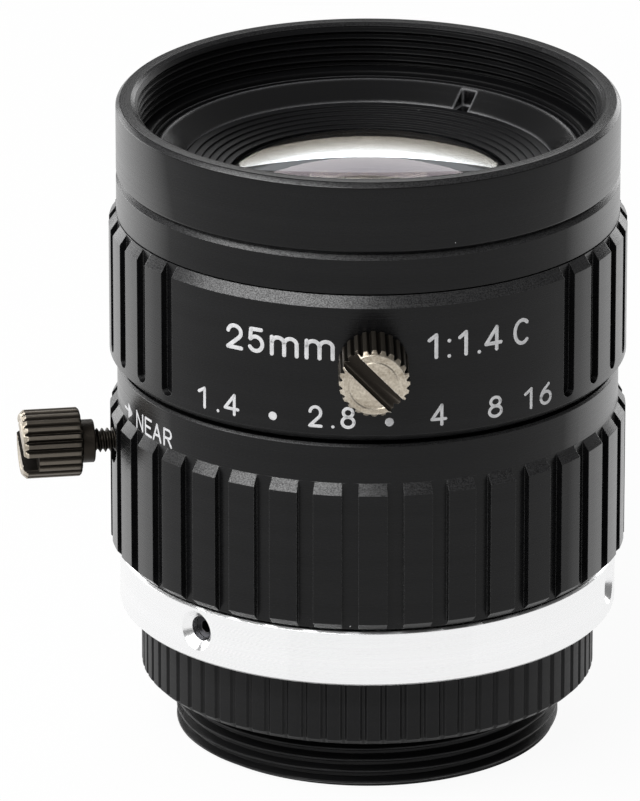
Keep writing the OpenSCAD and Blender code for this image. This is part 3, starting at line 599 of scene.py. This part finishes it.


# Lock screws
# Turned brass screws with a knurled head, a screwdriver slot, a collar and a thread of
# 1.6 by 0.35 mm. The nickel is bright on the face, lighter on the crests from rubbing and a painted highlight, and dark
# elsewhere, which in the slot is painted shade.
# Dark nickel: a dark tone on the sides and the thread, which in the slot is painted shade.
dark_nickel, tree = empty_material("dark_nickel")
etched = use(tree, grain, Grains_per_mm=16.0, Specks=0.0)["Height"]
broken = use(tree, edge, Width_in_mm=0.05)
crest = put(tree, "ShaderNodeAttribute", attribute_name="crest").outputs["Fac"]
tarnish_and_slot_shade = two_tone(tree, etched, (0.014, 0.012, 0.01), (0.05, 0.043, 0.036))
# Crests and edges turn lighter: rubbing, and a painted highlight along the ridges of the knurl.
polish_and_crest_highlight = maths(tree, "MAXIMUM", maths(tree, "POWER", crest, 5.0), maths(tree, "MULTIPLY", broken["Edge"], 0.7))
wear_and_highlight = maths(tree, "MULTIPLY", polish_and_crest_highlight, between(tree, etched, 0.4, 1.3), clamp=True)
pits = {"Strength": 0.4, "Distance": 0.02 * mm, "Height": etched, "Normal": broken["Normal"]}
principled(
    tree,
    {
        "Base Color": two_tone(tree, wear_and_highlight, tarnish_and_slot_shade, (0.17, 0.15, 0.125)),
        "Roughness": between(tree, etched, 0.3, 0.6),
        "Metallic": 1.0,
        "Normal": put(tree, "ShaderNodeBump", pits).outputs[0],
    },
)

knurl_teeth = 24
knurl_depth = 0.22
head_radius = 2.275
head_length = 3.9
head_bevel = 0.33
collar_radius = 1.425
collar_length = 0.93
screw_radius = 0.8
screw_pitch = 0.35
screw_cut = 0.2
slot_half = 0.6
slot_depth = 1.0


def lock_screw(name, azimuth, height, seat, tip, slot_turn, body, node):
    """Knurled screw that stands out at an azimuth and height, with its collar at the seat's radius and its end at
    the tip's. Thread, collar and head are one surface of revolution whose radius waves with the teeth: a cosine
    of the turn, cut flat at the crests. The slot is cut by a box, and the screw is then laid on its side."""
    shank = seat - collar_length - tip
    collar_z = shank + collar_length
    face_z = collar_z + head_length
    thread_rows = np.arange(0.12, shank - 0.12, 0.035)
    low_rows = np.concatenate([np.linspace(0, 0.15, 4), np.linspace(0.3, head_length - 0.42, 5)])
    knurl_rows = np.concatenate([low_rows, np.linspace(head_length - head_bevel, head_length, 12)])
    collar = [
        (0.6, shank - 0.1), (0.6, shank), (collar_radius - 0.06, shank), (collar_radius, shank + 0.06),
        (collar_radius, collar_z - 0.12), (collar_radius - 0.1, collar_z - 0.06), (collar_radius - 0.1, collar_z),
    ]
    face = [
        (1.92, face_z), (1.7, face_z), (1.62, face_z - 0.05), (1.54, face_z - 0.05), (1.46, face_z), (0.4, face_z),
        (0, face_z),
    ]
    head = wall(head_radius, collar_z + knurl_rows)
    outline = np.vstack([[(0, 0), (0.45, 0)], wall(screw_radius, thread_rows), collar, head, face])
    columns = knurl_teeth * 10
    turn = np.arange(columns) * 2 * math.pi / columns
    radius = outline[:, :1] + np.zeros((1, columns))
    level = outline[:, 1:] + np.zeros((1, columns))
    last = 2 + len(thread_rows)
    radius[2:last] -= thread_depth(level[2:last], turn, screw_pitch, screw_cut)
    rows = slice(last + len(collar), last + len(collar) + len(head))
    tooth = 0.5 + 0.5 * np.cos(turn * knurl_teeth)
    knurl = head_radius - knurl_depth * (1 - np.clip(1.5 * tooth, 0, 1)) ** 1.2
    along = level[rows] - collar_z
    bevel = head_radius + 0.02 - np.clip(along - (head_length - head_bevel), 0, 1) * 0.9
    break_low = head_radius - 0.13 + np.clip(along, 0, 0.15)
    radius[rows] = np.minimum(np.minimum(knurl, bevel), break_low)
    piece = revolve(name, radius, level, nickel, "nickel_brass", body, node, sharp=32)

    x, y, z = np.meshgrid((-3.0, 3.0), (-slot_half, slot_half), (face_z - slot_depth, face_z + 1.0), indexing="ij")
    corners = np.column_stack([x.ravel(), y.ravel(), z.ravel()])
    c, s = math.cos(math.radians(slot_turn)), math.sin(math.radians(slot_turn))
    corners[:, :2] = corners[:, :2] @ np.array([(c, s), (-s, c)])
    sides = [(0, 1, 3, 2), (4, 6, 7, 5), (0, 4, 5, 1), (2, 3, 7, 6), (0, 2, 6, 4), (1, 5, 7, 3)]
    cutter_mesh = bpy.data.meshes.new(name + "_slot")
    cutter_mesh.from_pydata(corners * mm, [], sides)
    cutter = bpy.data.objects.new(name + "_slot", cutter_mesh)
    bpy.context.scene.collection.objects.link(cutter)
    boolean = piece.modifiers.new("slot", "BOOLEAN")
    boolean.object = cutter
    boolean.operation = "DIFFERENCE"
    boolean.solver = "EXACT"
    bpy.context.view_layer.update()
    screw = bpy.data.meshes.new_from_object(piece.evaluated_get(bpy.context.evaluated_depsgraph_get()))
    piece.modifiers.clear()
    bpy.data.objects.remove(cutter)

    points = np.empty(len(screw.vertices) * 3)
    screw.vertices.foreach_get("co", points)
    reach = np.hypot(*points.reshape(-1, 3)[:, :2].T / mm)
    high = np.clip((reach - (head_radius - knurl_depth)) / knurl_depth, 0, 1)
    screw.attributes.new("crest", "FLOAT", "POINT").data.foreach_set("value", high)
    middle, normal = np.empty(len(screw.polygons) * 3), np.empty(len(screw.polygons) * 3)
    screw.polygons.foreach_get("center", middle)
    screw.polygons.foreach_get("normal", normal)
    outward, place = normal.reshape(-1, 3)[:, 2], middle.reshape(-1, 3)[:, 2] / mm
    # All faces but the screw's face take the dark nickel, so the walls and floor of the slot get painted shade.
    on_face = (outward > 0.25) & (place > face_z - 0.5 * slot_depth)
    screw.materials.clear()
    screw.materials.append(nickel)
    screw.materials.append(dark_nickel)
    screw.polygons.foreach_set("material_index", np.where(on_face, 0, 1))
    screw.transform(
        Matrix.Rotation(math.radians(azimuth), 4, "Z")
        @ Matrix.Translation((0, -(seat - shank - collar_length) * mm, height * mm))
        @ Matrix.Rotation(math.radians(90), 4, "X")
    )
    screw.shade_smooth()
    screw.set_sharp_from_angle(angle=math.radians(32))
    piece.data = screw


lock_screw("iris_lock_knurled", 1.2, 27.5, 17.05, 15.1, -46, "iris_lock", "iris_lock_screw")
lock_screw("focus_lock_knurled", -81, 16.65, 19.2, 15.2, -20, "focus_lock", "focus_lock_screw")


# Front retaining ring, cell and baffle ring
# Turned aluminium rings, matt black so that they don't reflect into the picture. Fine
# steps on the baffle ring break the light that falls on them.
# Satin black's light grey edge tone, strong and wide, is a painted highlight along the ring's edges, on top of rubbed
# edges.
satin_black = metal(
    "satin_black", (0.002, 0.002, 0.0022), (0.004, 0.004, 0.0045), 0.14, 0.28, 0.0, (0.3, 0.3, 0.31),
    lines=2.5, wander=0.3, relief=0.35, shine=0.4, specks=0.0, edge_width=0.32, wear_and_highlight_amount=1.0
)
dress(satin_black, "front_retaining_ring")
dress(matt_black, "front_cell", "glass_clamp_ring", "front_spacer")


# Front hood
# Turned ring of aluminium, black anodised, screwed into the barrel at the seam. The
# filter thread of 30.5 by 0.5 mm is cut into its bore.
def softened(outline, radius, steps=4):
    """Closed outline whose corners become arcs: each corner is a quadratic curve between the two points at that
    distance on its sides."""
    outline = np.array(outline, float)
    before = np.roll(outline, 1, axis=0) - outline
    after = np.roll(outline, -1, axis=0) - outline
    reach = np.minimum(radius, 0.45 * np.minimum(np.linalg.norm(before, axis=1), np.linalg.norm(after, axis=1)))
    start = outline + before / np.linalg.norm(before, axis=1)[:, None] * reach[:, None]
    end = outline + after / np.linalg.norm(after, axis=1)[:, None] * reach[:, None]
    t = np.linspace(0, 1, steps)[None, :, None]
    arcs = (1 - t) ** 2 * start[:, None] + 2 * t * (1 - t) * outline[:, None] + t**2 * end[:, None]
    return arcs.reshape(-1, 2)


band_radius = 16.5
rim = 39.5
rim_chamfer = 0.3
seam = 34.6
seam_depth = 0.3
filter_radius = 15.25
filter_floor = 36.5
filter_pitch = 0.5
filter_depth = 0.27
hood_bore = 14.25
spigot_radius = 15.0
spigot_low = 33.3
hood_columns = 420

turn = np.arange(hood_columns) * 2 * math.pi / hood_columns
corners = [
    (hood_bore, spigot_low), (spigot_radius, spigot_low), (spigot_radius, seam), (band_radius - seam_depth, seam),
    (band_radius, seam + seam_depth), (band_radius, rim - rim_chamfer), (band_radius - rim_chamfer, rim),
    (filter_radius + 0.2, rim),
]
outside = softened(corners, 0.06)[:-3]
thread_rows = np.arange(rim - 0.2, filter_floor + 0.1, -0.042)
step = [(0.2, 0), (0.12, -0.01), (0.05, -0.05), (0.01, -0.12), (0, -0.2)]
inside = np.vstack([(filter_radius, filter_floor), np.array(step) + (hood_bore, filter_floor)])
outline = np.vstack([outside, wall(filter_radius, thread_rows), inside])
radius = outline[:, :1] + np.zeros((1, hood_columns))
height = outline[:, 1:] + np.zeros((1, hood_columns))
first, last = len(outside), len(outside) + len(thread_rows)
ridge = filter_depth - thread_depth(height[first:last], turn, filter_pitch, filter_depth)
lead = np.clip((rim - 0.2 - height[first:last]) * 0.9, 0, filter_depth)
radius[first:last] -= np.minimum(ridge, lead)
hood = revolve(
    "front_hood_threaded", radius, height, black_anodised, "black_anodised", "barrel", "front_hood", sharp=24
)
matt_bore = metal(
    "matt_bore", (0.003, 0.003, 0.0033), (0.006, 0.006, 0.0065), 0.32, 0.48, 0.0, (0.07, 0.07, 0.07),
    shine=0.11, relief=0.4, grains=9.0
)
hood.data.materials.append(matt_bore)
row_of_face = np.repeat(np.arange(len(outline)), hood_columns)
hood.data.polygons.foreach_set("material_index", (row_of_face >= first).astype(np.int32))


# Engraved marks
# Focal length, speed, aperture scale and focus mark, cut in one line with a round
# cutter and filled with pale paint. They stand a hair above the anodised surface.
paint, tree = empty_material("white_paint")
place = put(tree, "ShaderNodeTexCoord").outputs["Object"]
patches = put(tree, "ShaderNodeTexNoise", {"Vector": place, "Scale": 2500.0, "Detail": 3.0, "Roughness": 0.7})
dips = {"Strength": 0.2, "Distance": 0.01 * mm, "Height": patches.outputs[0]}
principled(
    tree,
    {
        "Base Color": two_tone(tree, patches.outputs[0], (0.42, 0.42, 0.43), (0.85, 0.85, 0.86)),
        "Roughness": between(tree, patches.outputs[0], 0.45, 0.7),
        "Specular IOR Level": 0.3,
        "Normal": put(tree, "ShaderNodeBump", dips).outputs[0],
    },
)

mark_lift = 0.012
mark_sink = 0.03
grip_radius = 17.0


def arc(x, y, across, up, start, end, steps=16):
    """Points of an ellipse between two angles in degrees."""
    angle = np.radians(np.linspace(start, end, steps))
    return np.column_stack([x + across * np.cos(angle), y + up * np.sin(angle)])


# Letters of a one-line engraving font: strokes in a box of unit width and height
arch_left = np.vstack([arc(0.25, 0.68, 0.25, 0.32, 180, 0), (0.5, 0)])
arch_right = np.vstack([arc(0.75, 0.68, 0.25, 0.32, 180, 0), (1, 0)])
bowl = np.vstack([(0, 1), arc(0.6, 0.74, 0.4, 0.26, 90, -90), (0, 0.48)])
swan = np.vstack([arc(0.5, 0.7, 0.48, 0.3, 172, -42), (0, 0)])
hook = np.vstack([(0.78, 1), arc(0.95, 0.31, 0.95, 0.6, 120, 180, 8)])
barbs = [[(0.3, y), (tip, 0.5)] for y, tip in ((1, 1), (0, 1), (0.3, 0.9), (0.7, 0.9))]
glyphs = {
    "1": ([(0, 0.78), (1, 1)], [(1, 1), (1, 0)]),
    "2": (swan, [(0, 0), (1, 0)]),
    "4": ([(0.72, 0), (0.72, 1)], [(0.72, 1), (0, 0.28)], [(0, 0.28), (1, 0.28)]),
    "5": ([(0.9, 1), (0.12, 1)], [(0.12, 1), (0.06, 0.55)], arc(0.48, 0.34, 0.52, 0.33, 142, -150)),
    "6": (arc(0.5, 0.31, 0.5, 0.31, 0, 360, 30), hook),
    "8": (arc(0.5, 0.77, 0.4, 0.23, 0, 360, 26), arc(0.5, 0.27, 0.5, 0.27, 0, 360, 30)),
    "m": ([(0, 0), (0, 1)], arch_left, arch_right),
    "C": (arc(0.5, 0.5, 0.5, 0.5, 48, 312, 30),),
    "N": ([(0, 0), (0, 1)], [(0, 1), (1, 0)], [(1, 0), (1, 1)]),
    "E": ([(1, 1), (0, 1)], [(0, 1), (0, 0)], [(0, 0), (1, 0)], [(0, 0.52), (0.85, 0.52)]),
    "A": ([(0, 0), (0.5, 1)], [(0.5, 1), (1, 0)], [(0.2, 0.34), (0.8, 0.34)]),
    "R": ([(0, 0), (0, 1)], bowl, [(0.5, 0.48), (1, 0)]),
    ".": ([(0.49, 0), (0.51, 0)],),
    ":": ([(0.49, 0), (0.51, 0)], [(0.49, 0.9), (0.51, 0.9)]),
    ">": (*barbs, [(0.3, 0), (0.3, 1)], [(-0.6, 0.5), (0.9, 0.5)]),
}


def ribbon(path, width):
    """Flat ribbon of constant width along a path, with round ends: rows of six points, two below the surface and
    four above it. At each end the middle moves out by the sine of an angle while the half width shrinks to its
    cosine, which draws a half circle."""
    path = np.array(path, float)
    steps = np.hypot(*np.diff(path, axis=0).T)
    length = np.concatenate([[0], np.cumsum(steps)])
    even = np.linspace(0, length[-1], max(2, int(length[-1] / 0.09)))
    path = np.column_stack([np.interp(even, length, path[:, 0]), np.interp(even, length, path[:, 1])])
    along = np.gradient(path, axis=0)
    along /= np.hypot(*along.T)[:, None]
    angle = np.radians(np.linspace(84, 0, 6))[:, None]
    start = path[0] - along[0] * width / 2 * np.sin(angle)
    end = path[-1] + along[-1] * width / 2 * np.sin(angle[::-1])
    middle = np.vstack([start, path, end])
    along = np.vstack([np.repeat(along[:1], 6, axis=0), along, np.repeat(along[-1:], 6, axis=0)])
    half = np.concatenate([np.cos(angle), np.ones((len(path), 1)), np.cos(angle[::-1])]) * width / 2
    side = np.column_stack([-along[:, 1], along[:, 0]]) * half
    section = [
        (1, -mark_sink), (1, 0.5 * mark_lift), (0.8, mark_lift), (-0.8, mark_lift), (-1, 0.5 * mark_lift),
        (-1, -mark_sink),
    ]
    rows = [np.column_stack([middle + side * share, np.full(len(middle), level)]) for share, level in section]
    return np.stack(rows, axis=1)


def engrave(name, letters, bottom, tall, width, radius, body):
    """Engraved and filled lettering on a cylinder. Each letter is (character, left and right azimuth in degrees,
    share of the height). The ribbons of its strokes are bent round the axis: arc length over radius is the
    azimuth."""
    points, faces, count = [], [], 0
    for character, left, right, share in letters:
        left, right = math.radians(left) * radius + width / 2, math.radians(right) * radius - width / 2
        for stroke in glyphs[character]:
            across, up = np.array(stroke, float).T
            path = [left + across * (right - left), bottom + width / 2 + up * (tall * share - width)]
            grid = ribbon(np.column_stack(path), width)
            rows, loop = grid.shape[:2]
            number = count + np.arange(rows * loop).reshape(rows, loop)
            ahead = np.roll(number, -1, axis=1)
            faces += np.stack([number[:-1], number[1:], ahead[1:], ahead[:-1]], axis=-1).reshape(-1, 4).tolist()
            faces += [number[0].tolist(), number[-1, ::-1].tolist()]
            points.append(grid.reshape(-1, 3))
            count += rows * loop
    x, y, z = np.vstack(points).T
    azimuth, out = x / radius, radius + z
    mesh = bpy.data.meshes.new(name)
    mesh.from_pydata(np.column_stack([out * np.sin(azimuth), -out * np.cos(azimuth), y]) * mm, [], faces)
    shell = bmesh.new()
    shell.from_mesh(mesh)
    bmesh.ops.recalc_face_normals(shell, faces=shell.faces[:])
    shell.to_mesh(mesh)
    shell.free()
    return finish(name, mesh, paint, None, body, sharp=40)


upper_line = (27.57, 1.76)
scale_line = (22.95, 1.52)
focal_length = (("2", -32.4, -28.1, 1), ("5", -27.0, -23.0, 1), ("m", -21.7, -15.1, 0.81), ("m", -13.8, -7.15, 0.81))
engrave("mark_focal_length", focal_length, *upper_line, 0.27, grip_radius, "iris")
speed = (
    ("1", 13.0, 15.4, 1), (":", 17.1, 18.7, 0.8), ("1", 19.9, 22.2, 1), (".", 24.1, 25.7, 1), ("4", 26.1, 30.6, 1),
    ("C", 33.4, 38.1, 1.04),
)
engrave("mark_speed", speed, *upper_line, 0.25, grip_radius, "iris")
stops = (
    ("1", -40.2, -37.9, 1), (".", -35.3, -33.9, 1), ("4", -33.1, -29.1, 1),
    ("2", -13.0, -9.8, 1), (".", -8.2, -6.9, 1), ("8", -5.9, -2.6, 1),
    ("4", 13.7, 17.5, 1), ("8", 27.1, 30.8, 1), ("1", 36.4, 38.7, 1), ("6", 40.8, 44.4, 1),
)
engrave("mark_stops", stops, *scale_line, 0.21, grip_radius, "iris")
dots = ((".", -22.1, -20.0, 1), (".", 3.7, 5.7, 1))
engrave("mark_dots", dots, 23.14, 1.52, 0.58, grip_radius, "iris")
near = (("N", -66.3, -62.5, 1), ("E", -61.7, -58.4, 1), ("A", -58.0, -54.4, 1), ("R", -53.6, -50.4, 1))
engrave("mark_near", near, 19.02, 1.28, 0.17, band_radius, "focus")
engrave("mark_near_arrow", ((">", -72.6, -68.8, 1),), 19.2, 1.0, 0.17, band_radius, "focus")


# Last update
# Nothing is made here: the view layer is brought up to date.
bpy.context.view_layer.update()
